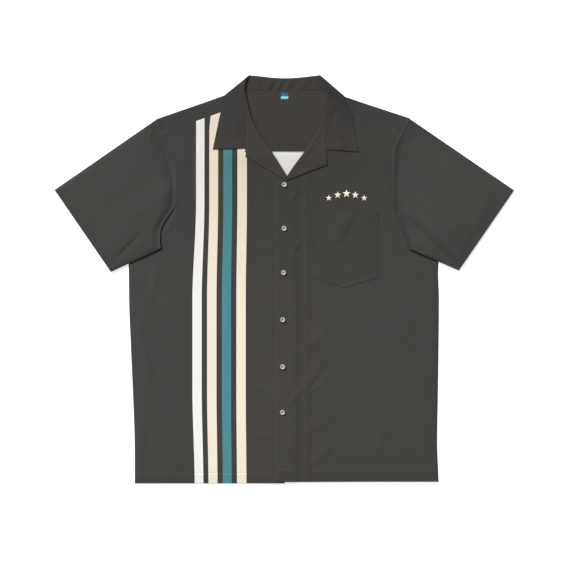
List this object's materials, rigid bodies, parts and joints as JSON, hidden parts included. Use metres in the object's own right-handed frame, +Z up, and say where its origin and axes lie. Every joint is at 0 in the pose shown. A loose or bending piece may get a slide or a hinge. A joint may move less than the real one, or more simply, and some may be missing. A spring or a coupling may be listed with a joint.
{
  "type": "short-sleeved bowling shirt",
  "caption": "Short-sleeved button-front bowling shirt with a camp collar, patch pocket and vertical front stripes, laid flat and face up",
  "frame": {"origin": "middle of the flat-laid shirt's footprint, on the surface that it lies on", "axes": "+Z up out of the surface, +Y from the hem to the collar, +X to the wearer's left (the viewer's right)"},
  "size_m": [0.874, 0.7771, 0.0079],
  "materials": {
    "shirt_cloth": "fine plain-weave polyester, charcoal, with printed white, cream and teal stripes",
    "label_weave": "woven teal neck label, bare",
    "button_plastic": "pale grey, slightly translucent resin"
  },
  "bodies": {
    "root": {"back_panel": "shirt_cloth", "yoke": "shirt_cloth", "yoke_inner": "shirt_cloth", "front_right": "shirt_cloth", "front_left": "shirt_cloth", "collar": "shirt_cloth", "lapel_right": "shirt_cloth", "lapel_left": "shirt_cloth", "sleeve_right": "shirt_cloth", "sleeve_left": "shirt_cloth", "pocket": "shirt_cloth", "label": "label_weave", "button_1": "button_plastic", "button_2": "button_plastic", "button_3": "button_plastic", "button_4": "button_plastic", "button_5": "button_plastic", "button_6": "button_plastic"}
  },
  "joints": []
}
